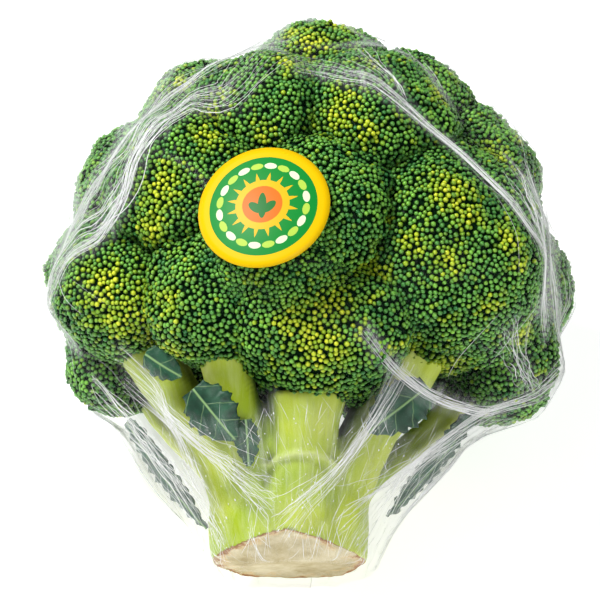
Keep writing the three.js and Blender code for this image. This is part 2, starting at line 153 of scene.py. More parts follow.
stalk_mesh = grown_form("stalk", STALK_VOXEL, STALK_ROUNDS)
bm = bmesh.new()
bm.from_mesh(stalk_mesh)
scar_share = bm.verts.layers.float.new("scar")
for vert in bm.verts:
    at = (TO_PLANT @ vert.co) / MM
    around = math.degrees(math.atan2(at.x, -at.y))
    ridges = noise.noise(Vector((at.x * 0.22, at.y * 0.22, at.z * 0.02))) * STALK_RIDGE
    swell = noise.noise(at * 0.05) * STALK_SWELL
    scar = 0.0
    from_start = around - SCAR_REACH[0] + SCAR_FADE
    to_end = SCAR_REACH[1] + SCAR_FADE - around
    if math.hypot(at.x, at.y) < SCAR_TRUNK and from_start > 0 and to_end > 0:
        wander = SCAR_HEIGHT + 1.2 * noise.noise(Vector((around * 0.06, 3, 0)))
        wander -= 0.0025 * (around - 8) ** 2
        ends = min(1, from_start / SCAR_FADE, to_end / SCAR_FADE)
        above = at.z - wander
        crest = ends * math.exp(-((above / 1.0) ** 2))
        scar = 1.4 * crest - 0.5 * ends * math.exp(-(((above + 2.6) / 1.6) ** 2))
        vert[scar_share] = crest
    vert.co += vert.normal * (ridges + swell + scar) * MM
for vert in bm.verts:
    vert.co -= cut_way * cut_rise(vert.co)
bmesh.ops.bisect_plane(
    bm,
    geom=[*bm.verts, *bm.edges, *bm.faces],
    dist=1e-6,
    plane_co=cut_middle,
    plane_no=cut_way,
    clear_inner=True,
)
rim_mm = bm.verts.layers.float.new("rim")
grain = bm.verts.layers.float_vector.new("grain")
for vert in bm.verts:
    vert[rim_mm] = -1.0
edge_loop = [edge for edge in bm.edges if edge.is_boundary]
for edge in edge_loop:
    for vert in edge.verts:
        vert[rim_mm] = 0.0
cut_face = bmesh.ops.holes_fill(bm, edges=edge_loop, sides=0)["faces"]
reach = 0.0
rim_spots = [vert.co.copy() for vert in cut_face[0].verts]
rim_middle = sum(rim_spots, Vector()) / len(rim_spots)
for step in CUT_RINGS:
    reach += step
    bmesh.ops.inset_region(bm, faces=cut_face, thickness=0.01 * MM, use_even_offset=False)
    for vert in cut_face[0].verts:
        vert[rim_mm] = reach
        inward = rim_middle - vert.co
        vert.co += inward.normalized() * min(step * MM, 0.8 * inward.length)
        vert.co -= cut_way * (vert.co - rim_middle).dot(cut_way)
poked = bmesh.ops.poke(bm, faces=cut_face)
for vert in poked["verts"]:
    vert[rim_mm] = reach + 2
for vert in bm.verts:
    if vert[rim_mm] >= 0:
        uneven = 0.5 * noise.noise(vert.co / MM * 0.1) + 0.3 * noise.noise(vert.co / MM * 0.4)
        vert.co += cut_way * uneven * MM
for vert in bm.verts:
    vert.co += cut_way * cut_rise(vert.co)
    at = (TO_PLANT @ vert.co) / MM
    vert.co.z = max(vert.co.z, STALK_CLEAR)
    spread = FIBRE_APEX / (at.z + FIBRE_APEX)
    vert[grain] = (at.x * spread, at.y * spread, at.z)
bmesh.ops.recalc_face_normals(bm, faces=bm.faces)
bm.normal_update()
# The share of rays from each spot that meet the stalk or florets, which sets the painted shade in
# the creases.
hollow = bm.verts.layers.float.new("hollow")
rng = np.random.default_rng(12)
for vert in bm.verts:
    start, met = vert.co + vert.normal * HOLLOW_START, 0
    for ray in rng.normal(size=(HOLLOW_RAYS, 3)):
        way = (Vector(ray).normalized() + 1.05 * vert.normal).normalized()
        met += grown_tree.ray_cast(start, way, HOLLOW_REACH)[0] is not None
    vert[hollow] = met / HOLLOW_RAYS
for _ in range(3):
    even = {}
    for vert in bm.verts:
        near_values = [edge.other_vert(vert)[hollow] for edge in vert.link_edges]
        even[vert] = sum(near_values) / len(near_values)
    for vert, value in even.items():
        vert[hollow] = value
bm.to_mesh(stalk_mesh)
bm.free()

# Fresh stalk skin is waxy and pale yellow-green, with whitish fibres and greener patches; the cut
# face is cream, drier and matt, and browns first along its torn edge. Skin in the creases between
# branches is darkened towards deep green: painted shade.
stalk_material, tree, shader = start_material("broccoli_stalk")
where = add_node(tree, "ShaderNodeTexCoord").outputs["Object"]
fibre_place = add_node(tree, "ShaderNodeAttribute", attribute_name="grain").outputs["Vector"]
fibre_squash = add_node(
    tree, "ShaderNodeMapping", {"Vector": fibre_place, "Scale": (1, 1, 0.07)}
).outputs["Vector"]
fibres = add_node(
    tree,
    "ShaderNodeTexNoise",
    {"Vector": fibre_squash, "Scale": 0.75, "Detail": 4, "Roughness": 0.65},
).outputs["Fac"]
fibre_share = add_node(
    tree, "ShaderNodeMapRange", {"Value": fibres, "From Min": 0.4, "From Max": 0.66}
).outputs["Result"]
patches = add_node(
    tree, "ShaderNodeTexNoise", {"Vector": where, "Scale": 1 / (26 * MM), "Detail": 2}
).outputs["Fac"]
patch_share = add_node(
    tree, "ShaderNodeMapRange", {"Value": patches, "From Min": 0.38, "From Max": 0.62}
).outputs["Result"]
height = add_node(tree, "ShaderNodeSeparateXYZ", {"Vector": fibre_place}).outputs["Z"]
pale_share = add_node(
    tree, "ShaderNodeMapRange", {"Value": height, "From Min": 18, "From Max": 52}
).outputs["Result"]
trunk_green = add_node(
    tree,
    "ShaderNodeMix",
    {0: patch_share, 6: linear("#9AB410"), 7: linear("#BBCA2A")},
    data_type="RGBA",
).outputs[2]
branch_green = add_node(
    tree,
    "ShaderNodeMix",
    {0: patch_share, 6: linear("#A0B61E"), 7: linear("#C1CE4A")},
    data_type="RGBA",
).outputs[2]
skin_green = add_node(
    tree, "ShaderNodeMix", {0: pale_share, 6: trunk_green, 7: branch_green}, data_type="RGBA"
).outputs[2]
fibre_part = add_node(
    tree, "ShaderNodeMath", {0: fibre_share, 1: 0.2}, operation="MULTIPLY"
).outputs[0]
fibrous = add_node(
    tree, "ShaderNodeMix", {0: fibre_part, 6: skin_green, 7: linear("#DEE7A6")}, data_type="RGBA"
).outputs[2]
scarred = add_node(tree, "ShaderNodeAttribute", attribute_name="scar").outputs["Fac"]
scar_part = add_node(tree, "ShaderNodeMath", {0: scarred, 1: 0.6}, operation="MULTIPLY").outputs[0]
scar_skin = add_node(
    tree, "ShaderNodeMix", {0: scar_part, 6: fibrous, 7: linear("#DCE6A0")}, data_type="RGBA"
).outputs[2]
# Painted shade: the more closed in a spot is, the further its skin is darkened towards deep green.
crease_occlusion = add_node(tree, "ShaderNodeAttribute", attribute_name="hollow").outputs["Fac"]
painted_crease_shade = add_node(
    tree,
    "ShaderNodeMapRange",
    {"Value": crease_occlusion, "From Min": 0.12, "From Max": 0.75, "To Min": 0.0, "To Max": 0.9},
).outputs["Result"]
skin = add_node(
    tree, "ShaderNodeMix", {0: painted_crease_shade, 6: scar_skin, 7: linear("#2E4A12")}, data_type="RGBA"
).outputs[2]
rim_place = add_node(tree, "ShaderNodeAttribute", attribute_name="rim").outputs["Fac"]
pith = add_node(
    tree,
    "ShaderNodeTexNoise",
    {"Vector": where, "Scale": 1 / (9 * MM), "Detail": 7, "Roughness": 0.7},
).outputs["Fac"]
pith_share = add_node(
    tree, "ShaderNodeMapRange", {"Value": pith, "From Min": 0.35, "From Max": 0.65}
).outputs["Result"]
cream = add_node(
    tree,
    "ShaderNodeMix",
    {0: pith_share, 6: linear("#A39468"), 7: linear("#CDC3A2")},
    data_type="RGBA",
).outputs[2]
torn = add_node(
    tree,
    "ShaderNodeTexNoise",
    {"Vector": where, "Scale": 1 / (5 * MM), "Detail": 6, "Roughness": 0.75},
).outputs["Fac"]
torn_reach = add_node(
    tree,
    "ShaderNodeMapRange",
    {"Value": torn, "From Min": 0.45, "From Max": 0.66, "To Min": 0.05, "To Max": 6.5},
).outputs["Result"]
rim_inside = add_node(
    tree, "ShaderNodeMath", {0: rim_place, 1: torn_reach}, operation="DIVIDE"
).outputs[0]
brown_share = add_node(
    tree,
    "ShaderNodeMapRange",
    {"Value": rim_inside, "From Min": 0.35, "From Max": 1.0, "To Min": 0.9, "To Max": 0.0},
).outputs["Result"]
tan_share = add_node(
    tree,
    "ShaderNodeMapRange",
    {"Value": rim_inside, "From Min": 0.8, "From Max": 2.4, "To Min": 0.55, "To Max": 0.0},
).outputs["Result"]
drying = add_node(
    tree, "ShaderNodeMix", {0: tan_share, 6: cream, 7: linear("#D3B47C")}, data_type="RGBA"
).outputs[2]
cut_colour = add_node(
    tree, "ShaderNodeMix", {0: brown_share, 6: drying, 7: linear("#8A5620")}, data_type="RGBA"
).outputs[2]
cut_share = add_node(
    tree, "ShaderNodeMapRange", {"Value": rim_place, "From Min": -0.45, "From Max": -0.2}
).outputs["Result"]
stalk_colour = add_node(
    tree, "ShaderNodeMix", {0: cut_share, 6: skin, 7: cut_colour}, data_type="RGBA"
).outputs[2]
tree.links.new(stalk_colour, shader.inputs["Base Color"])
stalk_rough = add_node(
    tree, "ShaderNodeMapRange", {"Value": cut_share, "To Min": 0.42, "To Max": 0.8}
).outputs["Result"]
tree.links.new(stalk_rough, shader.inputs["Roughness"])
stalk_bump = add_node(
    tree, "ShaderNodeBump", {"Strength": 0.35, "Distance": 0.4 * MM, "Height": fibres}
).outputs["Normal"]
tree.links.new(stalk_bump, shader.inputs["Normal"])
shader.inputs["IOR"].default_value = 1.42
shader.inputs["Specular IOR Level"].default_value = 0.35
finish_piece("stalk_flesh", stalk_mesh, stalk_material, "stalk")

# Florets
# Each floret is a dome of tight flower buds, about 1.6 mm across, on stems that fan from a branch.
# The buds stand in clumps 8 mm across and fill out towards the film, with ripening yellow patches.
BUD_PITCH = 1.32
BUD_WIDTH = (0.7, 1.02)
BUD_CLEAR = 0.3 * MM
CLUMP_PITCH = 7.6
CLUMP_RISE = 1.0
FLORET_VOXEL, FLORET_ROUNDS = 1.5 * MM, 4
PRESSED = 0.9
SHADE_MOST, SHADE_FROM, SHADE_RUN = 0.6, 3, 13
FLORET_SWELL = 0.7
FLORET_DROOP = {
    "floret_front": 5.5,
    "floret_front_left": 5.5,
    "floret_left": 4.5,
    "floret_right": 5.5,
}
FILM_MIDDLE = Vector((2, 0, 72)) * MM
FILL_FRONT, FILL_SIDE, FILL_MOST = 0.05, 0.75, 13.0
LABEL_PRESS = 22 * MM
LABEL_DEPTH = 1.8 * MM
FRONT_SPREAD = (0.65, 0.35)
RIPE_PATCHES = [
    (-41, -61, 110, 4.7), (-44, -54, 99, 4.0), (-27, -61, 127, 3.4), (-24, -57, 137, 3.0),
    (-59, -43, 82, 5.4), (-55, -40, 74, 5.4), (-48, -43, 77, 4.7), (-38, -56, 74, 3.0),
    (-45, -35, 72, 3.4), (-37, -45, 63, 3.0), (-8, -62, 128, 2.3), (-37, -35, 158, 3.0),
    (-1, -54, 156, 3.0), (17, -62, 134, 3.7), (25, -67, 128, 3.0), (18, -62, 140, 3.0),
    (49, -46, 149, 3.0), (39, -61, 91, 3.0), (51, -64, 107, 5.0), (57, -62, 100, 3.0),
    (50, -60, 86, 3.0), (37, -35, 65, 4.7), (49, -26, 60, 5.7), (63, -51, 75, 2.3),
    (69, -57, 94, 3.0), (69, -31, 132, 3.4), (13, -61, 71, 4.4), (11, -59, 56, 5.4),
    (7, -61, 62, 4.7), (28, -57, 84, 3.0), (2, -62, 65, 4.0), (-12, -50, 75, 3.4),
    (8, -39, 171, 4.4), (15, -29, 179, 3.0), (0, -35, 176, 3.0), (4, -38, 163, 3.0),
    (-16, -41, 63, 3.4), (76, -28, 72, 3.0), (-79, 7, 94, 2.7),
]

film_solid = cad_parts["film_wrap"].data
film_tree = BVHTree.FromPolygons(
    [vert.co for vert in film_solid.vertices], [face.vertices for face in film_solid.polygons]
)
film_middle = LIE @ FILM_MIDDLE
front_way = LIE_TURN @ Vector((0, -0.95, -0.31))
label_points = [vert.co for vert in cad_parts["label"].data.vertices]
label_spot = sum(label_points, Vector()) / len(label_points)


def is_pressed(spot, way, owner):
    """Whether another floret or the stalk lies close in front of this spot."""
    start, left = spot + way * 0.05 * MM, PRESSED * MM
    for _ in range(4):
        hit, _, face, far = grown_tree.ray_cast(start, way, left)
        if hit is None:
            return False
        if grown_owner[face] != owner:
            return True
        start, left = hit + way * 0.02 * MM, left - far - 0.02 * MM
    return False


def scatter(points, normals, triangles, pitch, rng):
    """Spots on a surface no closer than the pitch, with the surface's direction there."""
    a, b, c = (points[triangles[:, i]] for i in range(3))
    area = np.linalg.norm(np.cross(b - a, c - a), axis=1) / 2
    count = int(area.sum() / pitch**2 * 9)
    picked = triangles[rng.choice(len(triangles), count, p=area / area.sum())]
    share = rng.dirichlet((1, 1, 1), count)[:, :, None]
    spots = (points[picked] * share).sum(axis=1)
    ways = (normals[picked] * share).sum(axis=1)
    ways /= np.linalg.norm(ways, axis=1)[:, None]
    cells, kept = {}, []
    for i, (x, y, z) in enumerate(np.floor(spots / pitch).astype(int).tolist()):
        spot = spots[i]
        around = [
            j
            for dx in (-1, 0, 1)
            for dy in (-1, 0, 1)
            for dz in (-1, 0, 1)
            for j in cells.get((x + dx, y + dy, z + dz), ())
        ]
        if not around or (((spots[around] - spot) ** 2).sum(axis=1) > pitch**2).all():
            cells.setdefault((x, y, z), []).append(i)
            kept.append(i)
    return spots[kept], ways[kept]


def clump_lift(spots, clumps):
    """How far a spot stands up in its clump: 1 in a clump's middle, 0 in the crease between two."""
    lifts = np.empty(len(spots))
    for i, spot in enumerate(spots):
        (_, _, near), (_, _, next_near) = clumps.find_n(Vector(spot), 2)
        lifts[i] = min(1, (next_near - near) / (0.75 * CLUMP_PITCH * MM))
    return lifts * (2 - lifts)


bm = bmesh.new()
bmesh.ops.create_uvsphere(bm, u_segments=6, v_segments=4, radius=1)
bmesh.ops.bisect_plane(
    bm,
    geom=[*bm.verts, *bm.edges, *bm.faces],
    dist=1e-4,
    plane_co=(0, 0, 0),
    plane_no=(0, 0, 1),
    clear_inner=True,
)
bmesh.ops.holes_fill(bm, edges=bm.edges, sides=0)
bmesh.ops.triangulate(bm, faces=bm.faces)
bmesh.ops.recalc_face_normals(bm, faces=bm.faces)
bm.verts.index_update()
bud_points = np.array([vert.co for vert in bm.verts])
bud_faces = np.array([[vert.index for vert in face.verts] for face in bm.faces])
bm.free()

# Bud wax is green with a soft gloss at the tip. A ripening bud turns yellow, and the gaps between
# buds lie in shade, so a bud darkens towards its foot and loses its gloss there.
bud_material, tree, shader = start_material("broccoli_buds")
tone_and_shade = add_node(tree, "ShaderNodeAttribute", attribute_name="tone_and_shade").outputs["Fac"]
ripe = add_node(tree, "ShaderNodeAttribute", attribute_name="ripe").outputs["Fac"]
tip = add_node(tree, "ShaderNodeAttribute", attribute_name="tip").outputs["Fac"]
young = add_node(
    tree, "ShaderNodeMix", {0: tone_and_shade, 6: linear("#317C3C"), 7: linear("#8AD048")}, data_type="RGBA"
).outputs[2]
turning_share = add_node(
    tree, "ShaderNodeMapRange", {"Value": ripe, "From Min": 0.0, "From Max": 0.5}
).outputs["Result"]
turning = add_node(
    tree, "ShaderNodeMix", {0: turning_share, 6: young, 7: linear("#9AC026")}, data_type="RGBA"
).outputs[2]
yellow_share = add_node(
    tree, "ShaderNodeMapRange", {"Value": ripe, "From Min": 0.45, "From Max": 1.0}
).outputs["Result"]
bud_top = add_node(
    tree, "ShaderNodeMix", {0: yellow_share, 6: turning, 7: linear("#E0E834")}, data_type="RGBA"
).outputs[2]
# Painted shade: the dark foot colour of a bud, which the core under the buds takes too.
painted_foot_shade = add_node(
    tree, "ShaderNodeMix", {0: ripe, 6: linear("#0A2210"), 7: linear("#3E6410")}, data_type="RGBA"
).outputs[2]
tip_share = add_node(
    tree, "ShaderNodeMapRange", {"Value": tip, "From Min": 0.1, "From Max": 0.9}
).outputs["Result"]
bud_colour = add_node(
    tree, "ShaderNodeMix", {0: tip_share, 6: painted_foot_shade, 7: bud_top}, data_type="RGBA"
).outputs[2]
tree.links.new(bud_colour, shader.inputs["Base Color"])
bud_gloss = add_node(
    tree,
    "ShaderNodeMapRange",
    {"Value": tip, "From Min": 0.2, "From Max": 0.8, "To Min": 0.02, "To Max": 0.5},
).outputs["Result"]
tree.links.new(bud_gloss, shader.inputs["Specular IOR Level"])
shader.inputs["Roughness"].default_value = 0.3
shader.inputs["IOR"].default_value = 1.45

FLORET_FORK = LIE @ (Vector((0, 0, 30)) * MM)
ripe_places = [(LIE @ (Vector(patch[:3]) * MM), patch[3] * MM) for patch in RIPE_PATCHES]
for number, name in enumerate(floret_names):
    rng = np.random.default_rng(400 + number)
    form = grown_form(name, FLORET_VOXEL, FLORET_ROUNDS)
    form.calc_loop_triangles()
    points = np.array([vert.co for vert in form.vertices])
    normals = np.array([vert.normal for vert in form.vertices])
    middle = points.mean(axis=0)
    outward = np.array((Vector(middle) - FLORET_FORK).normalized())
    below = -(points - middle) @ outward
    hang = np.clip((below - 0.2 * below.max()) / (0.7 * below.max()), 0, 1)
    droop = hang * FLORET_DROOP.get(name, 0) * MM
    points += normals * FLORET_SWELL * MM - outward * droop[:, None]
    if name == "floret_front":
        sideways = points[:, 0] - middle[0]
        points[:, 0] += sideways * (1 - 0.7 * hang) * np.where(sideways < 0, *FRONT_SPREAD)
    for i, spot in enumerate(points):
        out = (Vector(spot) - film_middle).normalized()
        gap = film_tree.ray_cast(Vector(spot), out)[3]
        turned = max(0, min(1, 2 * Vector(normals[i]).dot(out) + 0.2))
        if gap:
            share = FILL_FRONT + (FILL_SIDE - FILL_FRONT) * (1 - max(0, out.dot(front_way)))
            share *= max(0, min(1, 1 + 2.5 * out.dot(cut_way)))
            off_label = (Vector(spot) + out * gap - label_spot).length / LABEL_PRESS
            press = max(0, min(1, 3 - 2 * off_label))
            push = max(share * min(gap, FILL_MOST * MM), press * (gap - LABEL_DEPTH))
            points[i] += np.array(out) * turned * push
    triangles = np.array([face.vertices for face in form.loop_triangles])
    clump_spots, _ = scatter(points, normals, triangles, CLUMP_PITCH * MM, rng)
    clumps = KDTree(len(clump_spots))
    for i, spot in enumerate(clump_spots):
        clumps.insert(spot, i)
    clumps.balance()
    core_lift = clump_lift(points, clumps)
    core = points + normals * ((core_lift - 0.75) * CLUMP_RISE - 0.25)[:, None] * MM

    spots, ways = scatter(points, normals, triangles, BUD_PITCH * MM, rng)
    free = [not is_pressed(Vector(s), Vector(w), name) for s, w in zip(spots, ways)]
    spots, ways = spots[free], ways[free]
    lifts = clump_lift(spots, clumps)
    count = len(spots)
    # Painted shade: buds lying deeper below the film, down in the creases between florets, get
    # darker tips.
    outs = [(Vector(s) - film_middle).normalized() for s in spots]
    under = [film_tree.ray_cast(Vector(s), out)[3] or 0 for s, out in zip(spots, outs)]
    shade = 1 - SHADE_MOST * np.clip((np.array(under) / MM - SHADE_FROM) / SHADE_RUN, 0, 1)
    near_buds = KDTree(count)
    for i, spot in enumerate(spots):
        near_buds.insert(spot, i)
    near_buds.balance()
    nearest = [near_buds.find_n(Vector(s), 5)[1:] for s in spots]
    room = np.array([np.mean([far for _, _, far in near]) for near in nearest])
    ripe_now = np.zeros(count)
    tone_and_shade_now = np.zeros(count)
    for i, spot in enumerate(spots):
        here = Vector(spot)
        warm = max(
            math.exp(-(((here - place).length / (1.9 * size)) ** 2)) for place, size in ripe_places
        )
        broad = noise.noise(here / (13 * MM)) + 0.5 * noise.noise(here / (5 * MM))
        warm = max(warm * 1.05, (broad - 0.3) * 1.5)
        ripe_now[i] = max(0.0, min(1.0, warm + rng.normal(0, 0.22) - 0.22))
        if rng.random() < 0.06:
            ripe_now[i] = max(ripe_now[i], rng.random() * 0.6)
        shift = 0.5 * noise.noise(here / (9 * MM) + Vector((7, 1, 3)))
        tone_and_shade_now[i] = max(0.0, min(1.0, 0.5 + shift + rng.normal(0, 0.16)))
    # The tone differs at random, and buds in the creases between clumps get a darker tone: painted
    # shade.
    tone_and_shade_now *= 0.45 + 0.55 * lifts

    side = np.cross(ways, rng.normal(size=(count, 3)))
    side /= np.linalg.norm(side, axis=1)[:, None]
    lean = ways + side * rng.normal(0, 0.16, count)[:, None]
    lean /= np.linalg.norm(lean, axis=1)[:, None]
    across = np.cross(lean, side)
    side = np.cross(across, lean)
    wide = np.clip(room * 0.6, BUD_WIDTH[0] * MM, BUD_WIDTH[1] * MM)
    wide = wide * rng.uniform(0.88, 1.08, count) * (1 + 0.06 * ripe_now)
    tall = wide * rng.uniform(1.0, 1.3, count)
    stand = ((lifts - 0.75) * CLUMP_RISE + rng.uniform(-0.4, 0.2, count)) * MM
    feet = spots + ways * stand[:, None]
    buds = (
        feet[:, None]
        + side[:, None] * (wide[:, None] * bud_points[:, 0])[:, :, None]
        + across[:, None] * (wide[:, None] * bud_points[:, 1])[:, :, None]
        + lean[:, None] * (tall[:, None] * bud_points[:, 2])[:, :, None]
    ).reshape(-1, 3)
    bud_firsts = np.arange(count) * len(bud_points)
    bud_triangles = (bud_faces[None] + bud_firsts[:, None, None]).reshape(-1, 3)

    mesh = bpy.data.meshes.new(name + "_buds")
    all_points = np.concatenate([core, buds])
    all_points[:, 2] = np.maximum(all_points[:, 2], BUD_CLEAR)
    all_triangles = np.concatenate([triangles, bud_triangles + len(core)])
    mesh.vertices.add(len(all_points))
    mesh.vertices.foreach_set("co", all_points.ravel())
    mesh.loops.add(all_triangles.size)
    mesh.loops.foreach_set("vertex_index", all_triangles.ravel())
    mesh.polygons.add(len(all_triangles))
    mesh.polygons.foreach_set("loop_start", np.arange(0, all_triangles.size, 3))
    per_bud = len(bud_points)
    values = {
        "ripe": np.repeat(ripe_now, per_bud),
        "tone_and_shade": np.repeat(tone_and_shade_now, per_bud),
        "tip": np.tile(np.clip(bud_points[:, 2], 0, 1), count) * np.repeat(shade, per_bud),
    }
    # The core under the buds gets zero for all three, so it shows the dark foot colour between the
    # buds: painted shade.
    for key, value in values.items():
        layer = mesh.attributes.new(key, "FLOAT", "POINT")
        layer.data.foreach_set("value", np.concatenate([np.zeros(len(core)), value]))
    mesh.update()
    bpy.data.meshes.remove(form)
    finish_piece(name + "_buds", mesh, bud_material, name)

# Leaves
# Small leaves that grow between the branches: thin, blue-green under a waxy bloom, with a pale
# midrib and side veins, crinkled, and lobed along their edges.
LEAF_THICKNESS = 0.7 * MM
LEAVES = {
    "leaf_front_left": ((-31, -42, 49), (0.62, 0.1, -0.78), (-0.2, -1, -0.3), 21, 8),
    "leaf_front_left_small": ((-14, -38, 40), (0.1, 0.25, -1), (0.3, -1, -0.2), 15, 4),
    "leaf_front_right": ((44, -41, 50), (-0.8, 0.2, -0.6), (0.3, -1, -0.2), 24, 8),
    "leaf_under_left": ((-47, -37, 62), (0.8, -0.1, -0.6), (-0.1, -0.8, -0.6), 14, 5),
    "leaf_left_side": ((-54.5, -12, 46), (0.5, 0.05, -0.85), (-0.9, -0.4, -0.5), 44, 7),
    "leaf_right_side": ((62, -8, 51), (-0.56, 0.05, -0.82), (0.9, -0.4, -0.5), 46, 7),
}

leaf_material, tree, shader = start_material("broccoli_leaf")
blade_place = add_node(tree, "ShaderNodeAttribute", attribute_name="blade").outputs["Vector"]
blade_parts = add_node(tree, "ShaderNodeSeparateXYZ", {"Vector": blade_place})
along_mm, across_mm = (blade_parts.outputs[axis] for axis in "XY")
off_midrib = add_node(tree, "ShaderNodeMath", {0: across_mm}, operation="ABSOLUTE").outputs[0]
vein_run = add_node(
    tree, "ShaderNodeMath", {0: off_midrib, 1: -0.75, 2: along_mm}, operation="MULTIPLY_ADD"
).outputs[0]
where = add_node(tree, "ShaderNodeTexCoord").outputs["Object"]
wander = add_node(
    tree, "ShaderNodeTexNoise", {"Vector": where, "Scale": 1 / (3 * MM), "Detail": 2}
).outputs["Fac"]
vein_bent = add_node(
    tree, "ShaderNodeMath", {0: wander, 1: 1.6, 2: vein_run}, operation="MULTIPLY_ADD"
).outputs[0]
vein_turn = add_node(
    tree, "ShaderNodeMath", {0: vein_bent, 1: 3.4}, operation="PINGPONG"
).outputs[0]
side_vein = add_node(
    tree,
    "ShaderNodeMapRange",
    {"Value": vein_turn, "From Min": 0.06, "From Max": 0.28, "To Min": 0.4, "To Max": 0},
).outputs["Result"]
midrib = add_node(
    tree,
    "ShaderNodeMapRange",
    {"Value": off_midrib, "From Min": 0.15, "From Max": 0.5, "To Min": 0.9, "To Max": 0},
).outputs["Result"]
veins = add_node(tree, "ShaderNodeMath", {0: side_vein, 1: midrib}, operation="MAXIMUM").outputs[0]
bloom = add_node(
    tree,
    "ShaderNodeTexNoise",
    {"Vector": where, "Scale": 1 / (6 * MM), "Detail": 4, "Roughness": 0.6},
).outputs["Fac"]
bloom_share = add_node(
    tree, "ShaderNodeMapRange", {"Value": bloom, "From Min": 0.35, "From Max": 0.7}
).outputs["Result"]
blade_green = add_node(
    tree,
    "ShaderNodeMix",
    {0: bloom_share, 6: linear("#133626"), 7: linear("#2F6448")},
    data_type="RGBA",
).outputs[2]
leaf_colour = add_node(
    tree, "ShaderNodeMix", {0: veins, 6: blade_green, 7: linear("#93B878")}, data_type="RGBA"
).outputs[2]
tree.links.new(leaf_colour, shader.inputs["Base Color"])
leaf_bump = add_node(
    tree, "ShaderNodeBump", {"Strength": 0.5, "Distance": 0.4 * MM, "Height": veins}
).outputs["Normal"]
tree.links.new(leaf_bump, shader.inputs["Normal"])
shader.inputs["Roughness"].default_value = 0.45
shader.inputs["IOR"].default_value = 1.45

for number, (name, (at, along, facing, length, half_width)) in enumerate(LEAVES.items()):
    run = Vector(along).normalized()
    side = Vector(facing).cross(run).normalized()
    face = run.cross(side)
    bm = bmesh.new()
    bmesh.ops.create_grid(bm, x_segments=max(28, length), y_segments=16, size=0.5)
    blade = bm.verts.layers.float_vector.new("blade")
    lobes = max(3, round(length / 4))
    for vert in bm.verts:
        t, across = vert.co.x + 0.5, vert.co.y * 2
        lobed = 1 + 0.10 * math.cos(2 * math.pi * lobes * t + number)
        lobed += 0.05 * math.cos(4.6 * math.pi * lobes * t)
        outline = math.sin(math.pi * min(1, 0.12 + 0.88 * t)) ** 0.7
        half = max(0.7, half_width * outline * (1 + (lobed - 1) * across * across))
        arch = -0.2 * half * across * across - 0.12 * length * t * t
        rough = Vector((t * length * 0.22, across * half * 0.3, number * 5))
        crinkle = 0.9 * noise.noise(rough) * min(1, 0.25 + abs(across))
        crinkle -= 0.45 * math.exp(-((across * half / 0.9) ** 2))
        crinkle += 0.5 * across * across * math.cos(2 * math.pi * lobes * t + number + 1)
        spot = Vector(at) + run * t * length + side * across * half + face * (arch + crinkle)
        vert[blade] = (t * length, across * half, 0)
        vert.co = LIE @ (spot * MM)
    bmesh.ops.recalc_face_normals(bm, faces=bm.faces)
    bmesh.ops.solidify(bm, geom=bm.faces, thickness=LEAF_THICKNESS)
    mesh = bpy.data.meshes.new(name + "_blade")
    bm.to_mesh(mesh)
    bm.free()
    finish_piece(name + "_blade", mesh, leaf_material, name)

# Film wrap
# One sheet of clear stretch film drawn over the head and closed over the stalk's cut end. It lies
# taut between the high spots, and where it is pulled hardest it draws into white strands.
FILM_SEGMENTS = (160, 120)
FILM_THICKNESS = 0.05 * MM
FILM_LIFT = 0.8 * MM
TABLE_GAP = 0.1 * MM
STALK_GAP = 0.4 * MM
RAY_START = 0.3
FILM_RADIUS = 0.085
HAZE_REACH, HAZE_FULL = 3.2 * MM, 24
STRAND_SIZES, STRAND_ODDS = (0.04, 0.06, 0.1, 0.16), (0.34, 0.36, 0.22, 0.08)


def film_way(azimuth, polar):
    """The way out from the film's middle, by degrees round the stalk and from the crown."""
    turn, fall = math.radians(azimuth), math.radians(polar)
    level = math.sin(fall)
    return Vector((math.sin(turn) * level, -math.cos(turn) * level, math.cos(fall)))


def film_spot(way, lift):
    """The place on the film in a direction of the plant's frame, lifted off it."""
    out = LIE_TURN @ way
    spot = film_tree.ray_cast(film_middle + out * RAY_START, -out)[0] + out * lift
    spot.z = max(spot.z, TABLE_GAP)
    return spot


bm = bmesh.new()
bmesh.ops.create_uvsphere(bm, u_segments=FILM_SEGMENTS[0], v_segments=FILM_SEGMENTS[1], radius=1)
pull = bm.verts.layers.float_vector.new("pull")
for vert in bm.verts:
    way = vert.co.normalized()
    polar = math.degrees(math.acos(max(-1, min(1, way.z))))
    flat = Vector((way.x, way.y, 0)).normalized() if polar > 0.5 else Vector((1, 0, 0))
    vert[pull] = (flat.x * 60, flat.y * 60, polar)
    vert.co = film_spot(way, FILM_LIFT)
for _ in range(2):
    bmesh.ops.smooth_vert(
        bm, verts=bm.verts, factor=0.5, use_axis_x=True, use_axis_y=True, use_axis_z=True
    )
stalk_tree = BVHTree.FromPolygons(
    [vert.co for vert in stalk_mesh.vertices], [face.vertices for face in stalk_mesh.polygons]
)
for vert in bm.verts:
    out = (vert.co - film_middle).normalized()
    trunk_spot = stalk_tree.ray_cast(film_middle + out * RAY_START, -out)[0]
    if trunk_spot and (trunk_spot + out * STALK_GAP - vert.co).dot(out) > 0:
        vert.co = trunk_spot + out * STALK_GAP
        vert.co.z = max(vert.co.z, TABLE_GAP)
bmesh.ops.recalc_face_normals(bm, faces=bm.faces)
film_mesh = bpy.data.meshes.new("film_sheet")
bm.to_mesh(film_mesh)
film_tree = BVHTree.FromBMesh(bm)
bm.free()

